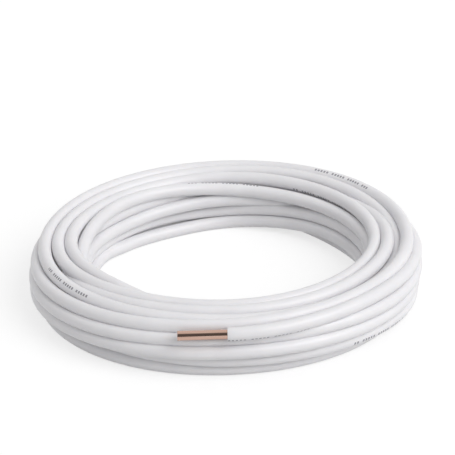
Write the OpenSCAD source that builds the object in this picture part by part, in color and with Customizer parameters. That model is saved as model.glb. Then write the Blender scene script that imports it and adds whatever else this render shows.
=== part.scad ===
// A coil of jacketed copper tube lying flat, with a bare tube end at the front.
// Millimetres. The coil's axis is Z and it lies on the floor at z = 0; the bare end points to -X.

/* [Tube] */
// Outer diameter of the copper tube
copper_d = 12; // [8:0.5:16]
// Wall of the copper tube
copper_wall = 1; // [0.6:0.1:1.5]
// Wall of the foam jacket round the copper
jacket_wall = 2.5; // [1.5:0.1:4]
// Room round the copper inside the jacket at the cut ends
jacket_gap = 0.2; // [0.1:0.05:0.3]

/* [Coil] */
// Radius of the innermost turn of the bottom row, to the middle of the tube
first_turn_r = 190; // [150:1:240]
// Rows of turns, one on the other
rows = 5; // [3:2:7]
// Turns side by side in a full row
row_turns = 4; // [3:1:5]
// Turns that the bottom row lacks at its outer side
bottom_short = 1; // [0:1:1]
// How far neighbouring turns press into each other
squash = 0.25; // [0.15:0.05:0.5]
// Flat that the bottom turns are pressed to by the floor
floor_flat = 0.4; // [0.2:0.1:0.8]

/* [Outer end] */
// Bare copper past the jacket at the outer end
outer_bare = 60; // [40:1:80]
// How far the outer end turn stands out past a nested turn
outer_stand_off = 2.5; // [0:0.5:3]
// Angle at which the outer end turn starts to run in under the top row
outer_turn_in = 140; // [125:1:150]
// How steeply the outer end turn runs in
run_in_slope = 25; // [24:1:30]

/* [Inner end] */
// Bare copper past the jacket at the inner end
inner_bare = 30; // [15:1:40]
// Angle at which the inner end leaves the bottom row
inner_leave = 110; // [90:1:130]
// Angle at which the jacket of the inner end is cut
inner_cut = 195; // [180:1:200]
// Room between the inner end and the bottom row at the cut
inner_room = 1.5; // [1:0.1:3]
// How far the inner end starts inside the bottom row
inner_sink = 2; // [1:0.5:3]
// How far the inner end is lifted above the bottom row
inner_lift = 0.25; // [0.15:0.05:0.35]

/* [Rim turn] */
// How far the rim turn starts inside the innermost top turn
rim_sink = 2; // [1:0.5:3]
// How far the rim turn is lifted above the top row
rim_lift = 0.25; // [0.15:0.05:0.35]

/* [Copper seats] */
// Depth that each copper end reaches into the jacket
seat_depth = 14; // [8:1:16]

/* [Hidden] */
jacket_d = copper_d + 2 * jacket_wall;
jacket_r = jacket_d / 2;
copper_r = copper_d / 2;
turn_pitch = jacket_d - squash;
row_pitch = turn_pitch * sqrt(3) / 2;
top = rows - 1;
front = -90;
left = 180;
// The outer end turn leans on the last turn of the row below, further out than a nested turn would.
outer_step = turn_pitch / 2 + outer_stand_off;
outer_r = turn_r(top - 1, row_turns - 1) + outer_step;
outer_z = turn_z(top - 1) + sqrt(turn_pitch * turn_pitch - outer_step * outer_step);
// The inner end's arc starts inside the innermost bottom turn, along it, and runs in from there.
inner_drop = (jacket_d + inner_room + inner_sink) / (1 - cos(inner_cut - inner_leave));
inner_arc_r = first_turn_r + inner_sink - inner_drop;
inner_z = turn_z(0) + inner_lift;
// The rim turn is half an off-centre ring: it leaves the innermost top turn at the left, stands one
// turn further in at the front, and goes back in at the right.
rim_front_r = turn_r(top, 0) - turn_pitch;
rim_end_r = turn_r(top, 0) + rim_sink;
rim_off = (sqrt(2 * rim_end_r * rim_end_r - rim_front_r * rim_front_r) - rim_front_r) / 2;
rim_arc_r = rim_front_r + rim_off;
rim_z = turn_z(top) + rim_lift;
$fn = 96;

function is_nested(row) = row % 2;
function turn_r(row, turn) = first_turn_r + turn * turn_pitch - is_nested(row) * turn_pitch / 2;
function turn_z(row) = jacket_r - floor_flat + row * row_pitch;
// Full rings only: the top row's last turn is the free outer end, and the bottom row is short.
function rings(row) = row_turns - (row == top ? 1 : row == 0 ? bottom_short : 0);

// The middle of the turned body, from the centres of its inner turns to those of its outer turns.
module middle_profile() {
    inner_side = [for (row = [0 : top]) [turn_r(row, 0), turn_z(row)]];
    outer_side = [for (row = [top : -1 : 0]) [turn_r(row, rings(row) - 1), turn_z(row)]];
    polygon(concat(inner_side, outer_side));
}

module turns_profile() {
    for (row = [0 : top], turn = [0 : rings(row) - 1]) {
        translate([turn_r(row, turn), turn_z(row)])
            circle(r = jacket_r);
    }
}

module turned_body() {
    rotate_extrude()
        middle_profile();
    rotate_extrude()
        turns_profile();
}

// One length of jacket round the axis, from one angle to another.
module jacket_arc(ring_r, z, from, to) {
    rotate([0, 0, from])
        rotate_extrude(angle = to - from)
            translate([ring_r, z])
                circle(r = jacket_r);
}

// The run-in is a slanting face on the end turn's outer side, which ends it.
module outer_end_turn() {
    difference() {
        jacket_arc(outer_r, outer_z, front, outer_turn_in + run_in_slope);
        rotate([0, 0, outer_turn_in])
            translate([outer_r + jacket_r, 0, 0])
                rotate([0, 0, run_in_slope])
                    cube([outer_r, outer_r, outer_z + jacket_d]);
    }
}

module inner_end_turn() {
    translate([inner_drop * cos(inner_leave), inner_drop * sin(inner_leave), 0])
        jacket_arc(inner_arc_r, inner_z, inner_leave, inner_cut);
}

module rim_turn() {
    translate([0, rim_off, 0])
        jacket_arc(rim_arc_r, rim_z, left, left + 180);
}

// Puts a rod that stands on z = 0 at the outer cut, along the tube and out of it.
module at_outer_cut() {
    translate([0, -outer_r, outer_z])
        rotate([0, -90, 0])
            children();
}

// The same at the inner cut, where the tube runs on round the coil.
module at_inner_cut() {
    translate([inner_drop * cos(inner_leave), inner_drop * sin(inner_leave), inner_z])
        rotate([0, 0, inner_cut])
            translate([inner_arc_r, 0, 0])
                rotate([-90, 0, 0])
                    children();
}

module seat() {
    translate([0, 0, -seat_depth])
        cylinder(h = 2 * seat_depth, r = copper_r);
}

module copper_end(bare) {
    difference() {
        union() {
            cylinder(h = bare, r = copper_r);
            translate([0, 0, -seat_depth])
                cylinder(h = seat_depth + bare / 2, r = copper_r - jacket_gap);
        }
        translate([0, 0, -2 * seat_depth])
            cylinder(h = 3 * seat_depth + bare, r = copper_r - copper_wall);
    }
}

module jacket_coil() {
    color("white")
        difference() {
            union() {
                turned_body();
                outer_end_turn();
                inner_end_turn();
                rim_turn();
            }
            at_outer_cut()
                seat();
            at_inner_cut()
                seat();
            translate([0, 0, -jacket_d])
                cylinder(h = jacket_d, r = 2 * outer_r);
        }
}

module copper_outer_end() {
    color("peru")
        at_outer_cut()
            copper_end(outer_bare);
}

module copper_inner_end() {
    color("peru")
        at_inner_cut()
            copper_end(inner_bare);
}

jacket_coil();
copper_outer_end();
copper_inner_end();
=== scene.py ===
import bpy
import math
import numpy as np
from mathutils import Matrix, Vector


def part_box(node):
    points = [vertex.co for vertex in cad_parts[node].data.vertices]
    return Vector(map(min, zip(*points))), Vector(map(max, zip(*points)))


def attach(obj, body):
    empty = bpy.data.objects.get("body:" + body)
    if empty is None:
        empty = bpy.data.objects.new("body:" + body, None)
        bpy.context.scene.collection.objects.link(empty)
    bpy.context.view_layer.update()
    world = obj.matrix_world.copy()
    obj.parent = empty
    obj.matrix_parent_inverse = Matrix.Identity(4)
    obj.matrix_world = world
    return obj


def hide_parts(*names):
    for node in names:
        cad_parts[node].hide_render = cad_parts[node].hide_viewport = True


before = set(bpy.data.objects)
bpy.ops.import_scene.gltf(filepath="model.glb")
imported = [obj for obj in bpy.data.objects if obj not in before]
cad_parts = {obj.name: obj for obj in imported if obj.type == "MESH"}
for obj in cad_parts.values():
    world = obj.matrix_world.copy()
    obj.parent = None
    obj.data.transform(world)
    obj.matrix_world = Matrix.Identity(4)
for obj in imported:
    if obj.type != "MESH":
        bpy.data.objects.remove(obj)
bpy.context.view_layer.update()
mm = 0.001

# lengths in millimetres; a turn is counted from the cut at the front, round by the right, back and left
stations = ("front", "frontRight", "right", "rightBack", "back", "backLeft", "left", "leftFront")

coil = {
    "jacketDiameter": 17.0,
    "turnPitch": 16.75,         # between neighbouring turns, which press into each other a little
    "floorFlat": 0.4,           # how far the floor flattens the bottom turns
    "firstTurnRadius": 190.0,   # innermost bottom turn, to the middle of the tube
    # radii and height that no turn's middle passes, where its place is chosen and where it is left free
    "chosenInnermost": 166.5, "chosenOutermost": 242.0, "chosenTop": 69.0,
    "freeInnermost": 188.0, "freeOutermost": 238.0, "freeTop": 52.0,
    "settling": 900,            # rounds in which the turns push each other apart
    "pushShare": 0.5,           # share of what two turns lack that they move apart in a round
    "chosenGive": 0.12,         # how easily a turn gives way at a chosen place; a free one gives way fully
    "chosenPull": 0.08, "freePull": 0.006,      # share of the way back to the meant place in a round
    "freeEven": 0.06,           # share of the way to the middle of both neighbours along the tube
    "wander": 0.35,             # how far the turns stray between their places
    "wanderIn": ((2.37, 1.1, 1.0), (3.61, 0.4, 0.6)),       # waves a turn, start and share of each wave
    "wanderUp": ((1.71, 2.2, 1.0), (4.23, 0.0, 0.5)),
    "stillStart": 0.5, "stillEnd": 0.8,         # turns at each end over which the straying fades out
    # as fine as the limit on a piece's faces allows
    "sides": 28, "ringsPerTurn": 164,           # sides round the tube, and rings in each turn
    # row and place in it that each turn has at the front, along the tube from its outer end: in over the
    # top, down the inner side, out over the second row, back in along the floor, and up through the middle
    "order": ((4, 3), (4, 2), (4, 1), (4, -1), (3, 0), (2, 0), (1, 1), (1, 2), (1, 3), (0, 2),
              (0, 1), (0, 0), (2, 1), (2, 2), (2, 3), (3, 3), (3, 2), (4, 0), (3, 1), (1, 0)),
    # radius and height by turn, chosen from the photo where a turn shows, and a few where a buried
    # turn has to pass under others
    "chosen": {
        "front": {
            1: (223.5, 66.0), 2: (207.5, 63.0), 3: (173.0, 66.0), 4: (180.5, 51.0),
            8: (231.5, 25.0), 9: (223.5, 8.1), 14: (240.5, 39.3), 15: (232.0, 51.5),
            17: (190.0, 67.0), 19: (181.5, 22.5),
        },
        "frontRight": {
            0: (238.5, 65.5), 1: (222.5, 69.0), 2: (212.0, 59.5), 3: (179.0, 66.0),
            4: (183.0, 50.0), 8: (236.5, 20.5), 9: (227.0, 8.1), 14: (241.0, 32.0),
            15: (242.0, 52.0), 17: (196.5, 67.5), 19: (182.0, 22.5),
        },
        "right": {
            0: (241.0, 57.5), 1: (232.5, 69.5), 2: (220.0, 61.5), 3: (191.5, 65.5),
            4: (186.5, 49.5), 5: (186.5, 36.5), 8: (236.0, 8.6), 11: (190.0, 8.1),
            14: (238.5, 25.5), 15: (242.0, 42.0), 17: (207.5, 67.0), 19: (183.0, 22.0),
        },
        "rightBack": {
            0: (239.5, 51.5), 1: (236.0, 68.5), 2: (222.5, 65.0), 3: (199.5, 66.0),
            4: (187.0, 52.5), 5: (186.0, 36.0), 8: (232.0, 8.1), 11: (193.5, 8.1),
            14: (238.5, 21.0), 15: (238.5, 36.5), 17: (211.0, 58.5), 19: (183.0, 20.5),
        },
        "back": {
            0: (236.5, 50.5), 1: (239.0, 66.0), 2: (222.0, 66.0), 3: (205.0, 66.0),
            4: (186.0, 58.0), 5: (198.0, 25.5), 8: (231.0, 8.1), 11: (211.0, 21.0),
            13: (226.0, 21.0), 14: (239.5, 29.5), 15: (229.0, 37.5), 16: (201.0, 48.5),
            17: (218.5, 50.0), 18: (189.0, 43.0), 19: (193.0, 8.1),
        },
        "backLeft": {
            0: (238.0, 51.0), 1: (236.5, 66.0), 2: (218.5, 66.0), 3: (202.5, 65.5),
            4: (188.0, 65.0), 5: (192.0, 22.0), 8: (230.0, 8.1), 13: (234.5, 21.0),
            14: (240.5, 35.0), 15: (226.5, 39.5), 16: (189.5, 51.0), 17: (215.0, 50.0),
            18: (187.5, 36.0), 19: (184.5, 8.1),
        },
        "left": {
            0: (239.5, 51.0), 1: (229.5, 66.0), 2: (212.0, 66.0), 3: (194.5, 66.0),
            4: (183.0, 56.5), 8: (233.0, 8.1), 13: (240.0, 20.5), 14: (240.5, 36.0),
            15: (226.0, 38.0), 16: (202.0, 50.5), 17: (219.0, 50.0), 18: (184.0, 38.0),
            19: (173.5, 8.1),
        },
        "leftFront": {
            0: (234.0, 57.5), 1: (218.0, 66.5), 2: (187.0, 67.5), 3: (168.0, 61.5),
            7: (231.0, 21.5), 8: (229.0, 8.1), 13: (237.0, 31.5), 14: (242.0, 44.5),
            15: (222.5, 49.5), 16: (200.5, 65.5), 17: (206.0, 49.0), 18: (185.5, 27.5),
            19: (173.5, 8.1),
        },
    },
}

innerEnd = {
    "leave": 110.0,             # degrees round the coil at which its arc leaves the bottom row
    "cut": 195.0,               # degrees on its own arc at which the jacket is cut
    "room": 1.5,                # between it and the bottom row at the cut
    "sink": 2.0,                # how far the arc starts inside the bottom row
    "lift": 0.25,
    "bow": 7.0, "bowFrom": 82.0, "bowTo": 145.0,    # how far it bows in before the arc, and where
    "onArcFrom": 135.0, "onArcOver": 16.0,          # degrees at which it comes to the arc, and over how many
}

jacketCut = {
    "socketGap": 0.25,          # dark gap between the jacket and the copper
    "socketDepth": 10.0,
    "socketFloor": 0.5,         # a ring on the socket's floor, as a share of its radius
    "edge": 0.35,               # rounding of the cut edges
    "edgeSteps": 4,
}

copperEnd = {
    "diameter": 12.0,
    "wall": 1.0,
    "seat": 14.0,               # length inside the jacket
    "seatGap": 0.1,             # how much further in the tube's surface lies inside the jacket
    "boreShare": 0.8,           # share of the seat that is hollow
    "edge": 0.35,
    "edgeSteps": 5, "bodySteps": 14, "boreSteps": 10,
    "innerBare": 30.0,
    "sides": 48,
}

sharpAbove = 50.0               # degrees between two faces past which their edge stays sharp


def smooth(x):                  # a move that starts and ends at rest: 6x^5 - 15x^4 + 10x^3
    x = np.clip(x, 0.0, 1.0)
    return x * x * x * (x * (6.0 * x - 15.0) + 10.0)


def packedPlace(row, turn):
    # a place in evenly packed rows: every other row lies half a turn further in, and each row is the
    # height of a triangle of three turns, pitch * sqrt(3) / 2, above the last
    pitch = coil["turnPitch"]
    lowest = coil["jacketDiameter"] / 2 - coil["floorFlat"]
    return coil["firstTurnRadius"] + (turn - row % 2 / 2) * pitch, lowest + row * pitch * math.sqrt(3) / 2


def settledPlaces(outerRadius, outerHeight):
    # radius and height of each turn at each station: a free turn goes in even steps from its place at the
    # front to the next turn's; then in each round two turns nearer than a pitch move part of what they
    # lack apart, a free one most; each is drawn back a little to where it was meant to be, and a free one
    # towards the middle of its two neighbours along the tube
    front = np.array([packedPlace(row, turn) for row, turn in coil["order"]])
    front[0] = (outerRadius, outerHeight)
    after = np.concatenate([front[1:], front[-1:]])
    step = np.arange(len(stations))[:, None] / len(stations)
    meant = front[:, None] * (1 - step) + after[:, None] * step
    give = np.ones(meant.shape[:2])
    for station, turns in coil["chosen"].items():
        for turn, place in turns.items():
            meant[turn, stations.index(station)] = place
            give[turn, stations.index(station)] = coil["chosenGive"]
    give[0, 0] = 0.0            # the cut itself stays where it is
    itself = np.eye(len(front))[:, :, None]
    share = give[:, None] / (give[:, None] + give[None] + itself)
    chosen = (give < 1.0)[..., None]
    floor = front[:, 1].min()
    lowest = np.where(chosen, (coil["chosenInnermost"], floor), (coil["freeInnermost"], floor))
    highest = np.where(chosen, (coil["chosenOutermost"], coil["chosenTop"]),
                       (coil["freeOutermost"], coil["freeTop"]))
    pull = np.where(chosen, coil["chosenPull"], coil["freePull"])
    even = np.where(chosen, 0.0, coil["freeEven"])
    place = meant.copy()
    for again in range(coil["settling"]):
        apart = place[:, None] - place[None]
        far = np.linalg.norm(apart, axis=-1) + itself * coil["turnPitch"]
        push = np.maximum(coil["turnPitch"] - far, 0.0) / far * share
        place = place + coil["pushShare"] * np.sum(apart * push[..., None], axis=1)
        line = place.reshape(-1, 2)
        between = (np.concatenate([line[:1], line[:-1]]) + np.concatenate([line[1:], line[-1:]])) / 2
        place = place + pull * (meant - place) + even * (between.reshape(place.shape) - place)
        place = np.clip(place, lowest, highest)
        place[0, 0] = front[0]
    print("coil: turns settled, nearest two %.1f mm apart" % far.min())
    return place.reshape(-1, 2)


def throughPlaces(places, t):
    # a cubic spline through the stations' places, level at the start and free at the end
    count = len(places)
    matrix = np.diag(np.full(count, 4.0)) + np.diag(np.ones(count - 1), 1) + np.diag(np.ones(count - 1), -1)
    matrix[0, :2] = (2.0, 1.0)
    matrix[-1, -2:] = (0.0, 1.0)
    side = np.zeros_like(places)
    side[1:-1] = 6.0 * (places[2:] - 2.0 * places[1:-1] + places[:-2])
    side[0] = 6.0 * (places[1] - places[0])
    bend = np.linalg.solve(matrix, side)
    along = t * len(stations)
    i = np.minimum(along.astype(int), count - 2)
    after = (along - i)[:, None]
    before = 1.0 - after
    return (before * places[i] + after * places[i + 1]
            + ((before ** 3 - before) * bend[i] + (after ** 3 - after) * bend[i + 1]) / 6.0)


def innerEndArc():
    # the inner end's own arc: an off-centre circle that starts inside the bottom row and runs in
    leave, cut = math.radians(innerEnd["leave"]), math.radians(innerEnd["cut"])
    fall = coil["jacketDiameter"] + innerEnd["room"] + innerEnd["sink"]
    drop = fall / (1.0 - math.cos(cut - leave))
    radius = coil["firstTurnRadius"] + innerEnd["sink"] - drop
    return drop, radius, leave, cut


def innerCut():
    # middle and direction of the tube at the inner cut
    drop, radius, leave, cut = innerEndArc()
    height = coil["jacketDiameter"] / 2 - coil["floorFlat"] + innerEnd["lift"]
    middle = np.array([drop * math.cos(leave) + radius * math.cos(cut),
                       drop * math.sin(leave) + radius * math.sin(cut), height])
    return middle, np.array([-math.sin(cut), math.cos(cut), 0.0])


def waves(angle, parts):
    # sines added up, each with its own rate, start and share, over the sum of the shares
    total = sum(share * np.sin(rate * angle + start) for rate, start, share in parts)
    return total / sum(share for rate, start, share in parts)


def tubePath(outerRadius, outerHeight):
    # middle line of the tube, from the outer cut to the inner one: radius and height from the places, each
    # with a little straying, carried round the axis
    places = settledPlaces(outerRadius, outerHeight)
    lastTurn = len(coil["order"]) - 1
    middle, along = innerCut()
    lastAngle = math.degrees(math.atan2(middle[1], middle[0])) % 360.0
    turns = lastTurn + (lastAngle + 90.0) / 360.0
    t = np.linspace(0.0, turns, int(turns * coil["ringsPerTurn"]))
    place = throughPlaces(places, t)
    angle = 2 * np.pi * t - np.pi / 2
    # no two turns stray alike, and the straying fades out at both cuts
    stray = coil["wander"] * smooth(t / coil["stillStart"]) * smooth((turns - t) / coil["stillEnd"])
    radius = place[:, 0] + stray * waves(angle, coil["wanderIn"])
    height = place[:, 1] + stray * waves(angle, coil["wanderUp"])
    # the last turn bows in at the back, then comes to its end along its own arc
    drop, arcRadius, leave, cut = innerEndArc()
    past = angle - (2 * np.pi * lastTurn + leave)
    onArc = drop * np.cos(past) + np.sqrt(arcRadius ** 2 - (drop * np.sin(past)) ** 2)
    degrees = np.degrees(past) + innerEnd["leave"]
    bowed = (degrees - innerEnd["bowFrom"]) / (innerEnd["bowTo"] - innerEnd["bowFrom"])
    radius = radius - innerEnd["bow"] * np.sin(np.pi * np.clip(bowed, 0.0, 1.0)) ** 2
    share = smooth((degrees - innerEnd["onArcFrom"]) / innerEnd["onArcOver"])
    radius = radius * (1 - share) + onArc * share
    height = height * (1 - share) + middle[2] * share
    line = np.stack([radius * np.cos(angle), radius * np.sin(angle), height], 1)
    return line, t


def frames(line):
    # along, outwards and up for every ring; outwards is level and square to the tube
    along = np.gradient(line, axis=0)
    along /= np.linalg.norm(along, axis=1, keepdims=True)
    up = np.array([0.0, 0.0, 1.0])
    out = np.cross(along, up)
    out /= np.linalg.norm(out, axis=1, keepdims=True)
    return along, out, np.cross(out, along)


def gridMesh(name, points, length):
    # a grid of rings, closed round each ring and at both ends; its map holds each ring's length along the
    # tube in metres, and the share of the way round
    rings, sides = points.shape[:2]
    index = np.arange(rings * sides).reshape(rings, sides)
    after = np.roll(index, -1, axis=1)
    quads = np.stack([index[:-1], after[:-1], after[1:], index[1:]], -1).reshape(-1, 4)
    mesh = bpy.data.meshes.new(name)
    caps = [index[0][::-1].tolist(), index[-1].tolist()]
    mesh.from_pydata((points.reshape(-1, 3) * mm).tolist(), [], quads.tolist() + caps)
    layer = mesh.uv_layers.new(name="length")
    step = np.arange(sides)
    u = np.stack([length[:-1], length[:-1], length[1:], length[1:]], -1)[:, None].repeat(sides, 1)
    v = np.stack([step, step + 1, step + 1, step], -1)[None].repeat(rings - 1, 0) / sides
    body = np.stack([u, v], -1).reshape(-1, 2)
    ends = np.concatenate([np.full((sides, 2), length[0]), np.full((sides, 2), length[-1])])
    layer.data.foreach_set("uv", np.concatenate([body, ends]).astype(np.float32).ravel())
    mesh.polygons.foreach_set("use_smooth", np.ones(len(mesh.polygons), dtype=bool))
    mesh.update()
    mesh.set_sharp_from_angle(angle=math.radians(sharpAbove))
    piece = bpy.data.objects.new(name, mesh)
    bpy.context.scene.collection.objects.link(piece)
    return piece


def cutRings(radius):
    # how far in from the cut, and radius, from the bottom of the socket, over the cut face with a quarter
    # circle at each edge, to the outside
    edge, depth = jacketCut["edge"], jacketCut["socketDepth"]
    inside = copperEnd["diameter"] / 2 + jacketCut["socketGap"]
    turn = np.linspace(0.0, np.pi / 2, jacketCut["edgeSteps"])
    bottom = [(depth, inside * jacketCut["socketFloor"]), (depth, inside)]
    lip = [(edge * (1 - math.sin(a)), inside + edge * (1 - math.cos(a))) for a in turn]
    rim = [(edge * (1 - math.cos(a)), radius - edge * (1 - math.sin(a))) for a in turn]
    return np.array(bottom + lip + rim)


def jacketTube(outerRadius, outerHeight):
    # the whole jacket: a circle carried along the winding, with a hollow cut end at each end
    line, t = tubePath(outerRadius, outerHeight)
    along, out, up = frames(line)
    along[0], out[0], up[0] = (1.0, 0.0, 0.0), (0.0, -1.0, 0.0), (0.0, 0.0, 1.0)     # the cut is square
    run = np.concatenate([[0.0], np.cumsum(np.linalg.norm(np.diff(line, axis=0), axis=1))])
    radius = coil["jacketDiameter"] / 2
    end = cutRings(radius)
    far = end[::-1]
    middle = np.concatenate([line[0] + end[:, :1] * along[0], line[1:-1],
                             line[-1] - far[:, :1] * along[-1]])
    outs = np.concatenate([out[:1].repeat(len(end), 0), out[1:-1], out[-1:].repeat(len(end), 0)])
    ups = np.concatenate([up[:1].repeat(len(end), 0), up[1:-1], up[-1:].repeat(len(end), 0)])
    size = np.concatenate([end[:, 1], np.full(len(line) - 2, radius), far[:, 1]])
    length = np.concatenate([np.zeros(len(end)), run[1:-1], np.full(len(end), run[-1])])
    around = 2 * np.pi * np.arange(coil["sides"]) / coil["sides"]
    points = middle[:, None] + size[:, None, None] * (
        np.cos(around)[None, :, None] * outs[:, None] + np.sin(around)[None, :, None] * ups[:, None])
    points[..., 2] = np.maximum(points[..., 2], 0.0)
    piece = gridMesh("jacketedTube", points, length * mm)
    print("coil: %.1f turns, %.2f m of tube" % (t[-1], run[-1] * mm))
    return piece


def copperTubeEnd(name, cut, along, bare):
    # a straight tube turned about its axis: seat, outside, rounded end, bore
    radius = copperEnd["diameter"] / 2
    bore = radius - copperEnd["wall"]
    edge = copperEnd["edge"]
    seat = radius - copperEnd["seatGap"]
    turn = np.linspace(0.0, np.pi / 2, copperEnd["edgeSteps"])
    wall = [(-copperEnd["seat"], seat), (0.0, seat)]
    body = [(s, radius) for s in np.linspace(0.0, bare - edge, copperEnd["bodySteps"])]
    nose = [(bare - edge * (1 - math.sin(a)), radius - edge * (1 - math.cos(a))) for a in turn[1:]]
    lip = [(bare - edge * (1 - math.cos(a)), bore + edge * (1 - math.sin(a))) for a in turn]
    bottom = -copperEnd["seat"] * copperEnd["boreShare"]
    inner = [(s, bore) for s in np.linspace(bare - 2 * edge, bottom, copperEnd["boreSteps"])]
    profile = np.array(wall + body + nose + lip + inner)
    out = np.cross(along, (0.0, 0.0, 1.0))
    up = np.cross(out, along)
    around = 2 * np.pi * np.arange(copperEnd["sides"]) / copperEnd["sides"]
    circle = np.cos(around)[:, None] * out + np.sin(around)[:, None] * up
    points = np.asarray(cut) + profile[:, :1, None] * np.asarray(along) + profile[:, 1:, None] * circle
    run = np.concatenate([[0.0], np.cumsum(np.linalg.norm(np.diff(profile, axis=0), axis=1))])
    return gridMesh(name, points, run * mm)


# materials

def colour(hexCode):            # sRGB hex to the linear colour that shaders use
    parts = [int(hexCode[i:i + 2], 16) / 255 for i in (1, 3, 5)]
    return [p / 12.92 if p <= 0.04045 else ((p + 0.055) / 1.055) ** 2.4 for p in parts] + [1.0]


def newMaterial(name):          # an empty material with its node tree
    material = bpy.data.materials.new(name)
    material.use_nodes = True
    material.node_tree.nodes.clear()
    return material, material.node_tree


def node(tree, kind, settings=None, links=None):
    # adds a node, sets its properties or input values, and links its inputs to other nodes or sockets
    made = tree.nodes.new(kind)
    for key, value in (settings or {}).items():
        if isinstance(key, str) and hasattr(made, key):
            setattr(made, key, value)
        else:
            made.inputs[key].default_value = value
    for key, source in (links or {}).items():
        tree.links.new(getattr(source, "outputs", [source])[0], made.inputs[key])
    return made


jacketLook = {
    "skin": "#E9E8EA", "shade": "#DFDEE1", "ink": "#8E8D93",
    "roughness": 0.36,
    "grain": 0.9,               # pits of the foam's skin, real ones are 0.3 mm: drawn coarser to show
    "grainDepth": 0.25, "grainBump": 0.12,
    "ripple": 29.0,             # slow waves that the die leaves
    "rippleDepth": 1.2, "rippleBump": 0.25,
    "glow": 0.12,               # share of the light that goes into the foam, and how far by colour
    "glowDepth": (3.0, 2.5, 2.0),
    "printEvery": 665.0, "printLength": 100.0, "printHeight": 3.4,
    "groupEvery": 27.6, "groupShare": 0.8,      # groups of bars in a print, and bars in a group
    "barEvery": 4.6, "barShare": 0.6,
    "printTwist": -0.2744,      # turns round the tube for each metre along it
    "printStart": 0.38,
}

copperLook = {
    "bright": "#DDC0B2", "dark": "#A98472", "roughness": 0.15,
    "lineWidth": 0.4,           # drawing lines, real ones are about 0.05 mm: drawn coarser to show
    "lineLength": 50.0,
    "lineDepth": 0.1, "lineBump": 0.12,
}


def foamJacket():
    # polyethylene foamed and extruded round the tube: white, half matt, with a fine pitted grain, slow
    # waves, and a line of grey bars printed along it
    look = jacketLook
    material, tree = newMaterial("foamed polyethylene jacket")
    place = node(tree, "ShaderNodeTexCoord").outputs["Object"]
    grain = node(tree, "ShaderNodeTexNoise", {"Scale": 1.0 / (look["grain"] * mm), "Detail": 2.0},
                 {"Vector": place})
    ripple = node(tree, "ShaderNodeTexNoise", {"Scale": 1.0 / (look["ripple"] * mm), "Detail": 2.0},
                  {"Vector": place})
    uv = node(tree, "ShaderNodeUVMap", {"uv_map": "length"})
    split = node(tree, "ShaderNodeSeparateXYZ", None, {"Vector": uv})
    along, around = split.outputs["X"], split.outputs["Y"]
    # the line of print turns slowly round the tube
    turned = node(tree, "ShaderNodeMath",
                  {"operation": "MULTIPLY_ADD", 1: look["printTwist"], 2: look["printStart"]}, {0: along})
    beside = node(tree, "ShaderNodeMath", {"operation": "SUBTRACT"}, {0: around, 1: turned})
    side = node(tree, "ShaderNodeMath", {"operation": "FRACT"}, {0: beside})
    half = look["printHeight"] / 2 / (math.pi * coil["jacketDiameter"])
    ink = node(tree, "ShaderNodeMath", {"operation": "COMPARE", 1: 0.5, 2: half}, {0: side})
    # prints along the tube, groups in a print and bars in a group: each is inked over the first share of
    # every step
    steps = ((look["printEvery"], look["printLength"] / look["printEvery"]),
             (look["groupEvery"], look["groupShare"]),
             (look["barEvery"], look["barShare"]))
    for every, share in steps:
        count = node(tree, "ShaderNodeMath", {"operation": "DIVIDE", 1: every * mm}, {0: along})
        part = node(tree, "ShaderNodeMath", {"operation": "FRACT"}, {0: count})
        inside = node(tree, "ShaderNodeMath", {"operation": "LESS_THAN", 1: share}, {0: part})
        ink = node(tree, "ShaderNodeMath", {"operation": "MULTIPLY"}, {0: ink, 1: inside})
    skin = node(tree, "ShaderNodeMix",
                {"data_type": "RGBA", 6: colour(look["shade"]), 7: colour(look["skin"])},
                {0: ripple.outputs["Fac"]})
    printed = node(tree, "ShaderNodeMix", {"data_type": "RGBA", 7: colour(look["ink"])},
                   {0: ink, 6: skin.outputs[2]})
    low = node(tree, "ShaderNodeBump", {"Strength": look["rippleBump"], "Distance": look["rippleDepth"] * mm},
               {"Height": ripple.outputs["Fac"]})
    bump = node(tree, "ShaderNodeBump", {"Strength": look["grainBump"], "Distance": look["grainDepth"] * mm},
                {"Height": grain.outputs["Fac"], "Normal": low})
    shader = node(tree, "ShaderNodeBsdfPrincipled", {
        "Roughness": look["roughness"], "IOR": 1.5, "Specular IOR Level": 0.5,
        "Subsurface Weight": look["glow"], "Subsurface Scale": 1.0,
        "Subsurface Radius": [depth * mm for depth in look["glowDepth"]],
    }, {"Base Color": printed.outputs[2], "Normal": bump})
    node(tree, "ShaderNodeOutputMaterial", None, {"Surface": shader})
    return material


def drawnCopper():
    # copper drawn through a die and wiped clean: a bright mirror with fine lines along the tube
    look = copperLook
    material, tree = newMaterial("drawn copper")
    uv = node(tree, "ShaderNodeUVMap", {"uv_map": "length"})
    across = math.pi * copperEnd["diameter"] / look["lineWidth"]
    stretched = node(tree, "ShaderNodeMapping", {"Scale": (1.0 / (look["lineLength"] * mm), across, 1.0)},
                     {"Vector": uv})
    lines = node(tree, "ShaderNodeTexNoise", {"Scale": 1.0, "Detail": 3.0}, {"Vector": stretched})
    tone = node(tree, "ShaderNodeMix",
                {"data_type": "RGBA", 6: colour(look["dark"]), 7: colour(look["bright"])},
                {0: lines.outputs["Fac"]})
    bump = node(tree, "ShaderNodeBump", {"Strength": look["lineBump"], "Distance": look["lineDepth"] * mm},
                {"Height": lines.outputs["Fac"]})
    shader = node(tree, "ShaderNodeBsdfPrincipled", {"Metallic": 1.0, "Roughness": look["roughness"]},
                  {"Base Color": tone.outputs[2], "Normal": bump})
    node(tree, "ShaderNodeOutputMaterial", None, {"Surface": shader})
    return material


# the pieces

stubLow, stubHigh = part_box("copper_outer_end")
stubMiddle = (np.array(stubLow) + np.array(stubHigh)) / 2 / mm
outerCut = np.array([0.0, stubMiddle[1], stubMiddle[2]])
outerBare = -stubLow[0] / mm

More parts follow.
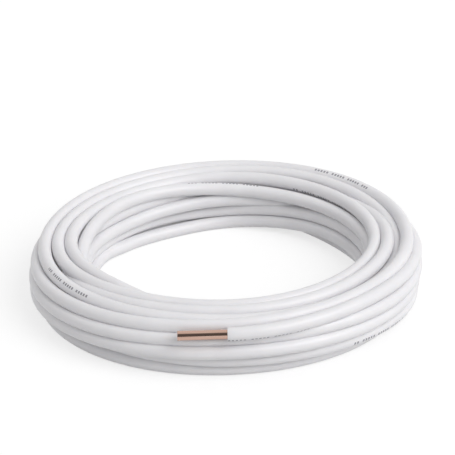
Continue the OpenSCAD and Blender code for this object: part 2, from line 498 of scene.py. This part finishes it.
jacket = jacketTube(-outerCut[1], outerCut[2])
outerCopper = copperTubeEnd("bareOuterEnd", outerCut, (-1.0, 0.0, 0.0), outerBare)
innerMiddle, innerAlong = innerCut()
innerCopper = copperTubeEnd("bareInnerEnd", innerMiddle, innerAlong, copperEnd["innerBare"])

jacket.data.materials.append(foamJacket())
copper = drawnCopper()
outerCopper.data.materials.append(copper)
innerCopper.data.materials.append(copper)

for piece, cadNode, slotName in ((jacket, "jacket_coil", "foam_jacket"),
                                 (outerCopper, "copper_outer_end", "drawn_copper"),
                                 (innerCopper, "copper_inner_end", "drawn_copper")):
    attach(piece, "root")
    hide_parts(cadNode)
print("coil: pieces made")

# the studio

studio = {
    "floorSize": 8.0, "floorColour": "#DCDCDC", "floorGlow": 1.05,
    "floorShade": 0.34,         # how much of the floor's own shading the camera sees, over a plain white glow
    "world": 0.57, "sun": 1.75, "sunAngle": 45.0, "sunFrom": (0.66, -0.48, 0.74),
    # the dark patch that mirrors see: its direction, and cosines of the angle from it where it starts and
    # where it is full
    "darkFrom": (0.0, -0.85, 0.53), "darkEdge": 0.66, "darkFull": 0.90, "darkLevel": 0.13,
    "distance": 3.5, "elevation": 26.3, "roll": -1.72, "sensor": 36.0,
    "pixelsPerMm": 0.782, "aimHeight": 30.0, "middlePixel": (225.6, 270.0), "imageSize": 455.0,
}

white = (1.0, 1.0, 1.0, 1.0)


def shownRays(tree):
    # 1 for rays from the camera, a mirror or glass, else 0: the largest of the three flags
    path = node(tree, "ShaderNodeLightPath")
    mirrored = node(tree, "ShaderNodeMath", {"operation": "MAXIMUM"},
                    {0: path.outputs["Is Glossy Ray"], 1: path.outputs["Is Transmission Ray"]})
    shown = node(tree, "ShaderNodeMath", {"operation": "MAXIMUM"},
                 {0: path.outputs["Is Camera Ray"], 1: mirrored})
    return shown, path


def studioFloor():
    # a level square; the camera, mirrors and glass see it nearly white with the shadow on it
    half = studio["floorSize"] / 2
    mesh = bpy.data.meshes.new("studioFloor")
    corners = [(-half, -half, 0), (half, -half, 0), (half, half, 0), (-half, half, 0)]
    mesh.from_pydata(corners, [], [(0, 1, 2, 3)])
    floor = bpy.data.objects.new("studioFloor", mesh)
    bpy.context.scene.collection.objects.link(floor)
    material, tree = newMaterial("studio floor")
    shown, path = shownRays(tree)
    plain = node(tree, "ShaderNodeBsdfDiffuse", {"Color": colour(studio["floorColour"])})
    shaded = node(tree, "ShaderNodeBsdfDiffuse", {"Color": white})
    glow = node(tree, "ShaderNodeEmission", {"Strength": studio["floorGlow"]})
    pale = node(tree, "ShaderNodeMixShader", {0: studio["floorShade"]}, {1: glow, 2: shaded})
    mixed = node(tree, "ShaderNodeMixShader", None, {0: shown, 1: plain, 2: pale})
    node(tree, "ShaderNodeOutputMaterial", None, {"Surface": mixed})
    mesh.materials.append(material)


def studioLight():
    # an even room, white to the camera, dark behind the camera for mirrors only, and one broad soft lamp
    world = bpy.data.worlds.new("studio")
    bpy.context.scene.world = world
    world.use_nodes = True
    tree = world.node_tree
    tree.nodes.clear()
    shown, path = shownRays(tree)
    where = node(tree, "ShaderNodeTexCoord")
    facing = node(tree, "ShaderNodeVectorMath", {"operation": "DOT_PRODUCT", 1: studio["darkFrom"]},
                  {0: where.outputs["Generated"]})
    patch = node(tree, "ShaderNodeMapRange", {"From Min": studio["darkEdge"], "From Max": studio["darkFull"]},
                 {"Value": facing.outputs["Value"]})
    dark = node(tree, "ShaderNodeMath", {"operation": "MULTIPLY"},
                {0: patch, 1: path.outputs["Is Glossy Ray"]})
    ambient = node(tree, "ShaderNodeBackground", {"Color": white, "Strength": studio["world"]})
    behind = node(tree, "ShaderNodeBackground", {"Color": white, "Strength": studio["darkLevel"]})
    bright = node(tree, "ShaderNodeBackground", {"Color": white, "Strength": 1.0})
    room = node(tree, "ShaderNodeMixShader", None, {0: shown, 1: ambient, 2: bright})
    mixed = node(tree, "ShaderNodeMixShader", None, {0: dark, 1: room, 2: behind})
    node(tree, "ShaderNodeOutputWorld", None, {"Surface": mixed})
    lamp = bpy.data.lights.new("softKey", "SUN")
    lamp.energy = studio["sun"]
    lamp.angle = math.radians(studio["sunAngle"])
    key = bpy.data.objects.new("softKey", lamp)
    key.rotation_euler = Vector(studio["sunFrom"]).to_track_quat("Z", "Y").to_euler()
    bpy.context.scene.collection.objects.link(key)


def studioCamera():
    # a long lens on a line through the coil's middle, then turned a little so that the middle
    # comes to its own pixel
    tilt = math.radians(studio["elevation"])
    middle = Vector((0.0, 0.0, studio["aimHeight"] * mm))
    back = Vector((0.0, -math.cos(tilt), math.sin(tilt)))
    spin = Matrix.Rotation(math.radians(studio["roll"]), 3, back)
    right = spin @ Vector((1.0, 0.0, 0.0))
    up = spin @ back.cross(Vector((1.0, 0.0, 0.0)))
    centre = studio["imageSize"] / 2
    focal = studio["distance"] / mm * studio["pixelsPerMm"]
    yaw = math.atan((centre - studio["middlePixel"][0]) / focal)
    pitch = math.atan((studio["middlePixel"][1] - centre) / focal)
    turn = Matrix.Rotation(-yaw, 3, up) @ Matrix.Rotation(pitch, 3, right)
    data = bpy.data.cameras.new("camera")
    data.sensor_width = studio["sensor"]
    data.lens = studio["sensor"] * focal / studio["imageSize"]
    camera = bpy.data.objects.new("camera", data)
    basis = Matrix((turn @ right, turn @ up, turn @ back)).transposed().to_4x4()
    camera.matrix_world = Matrix.Translation(middle + back * studio["distance"]) @ basis
    bpy.context.scene.collection.objects.link(camera)
    bpy.context.scene.camera = camera


studioFloor()
studioLight()
studioCamera()
bpy.context.scene.view_settings.view_transform = "Standard"
print("coil: studio ready")
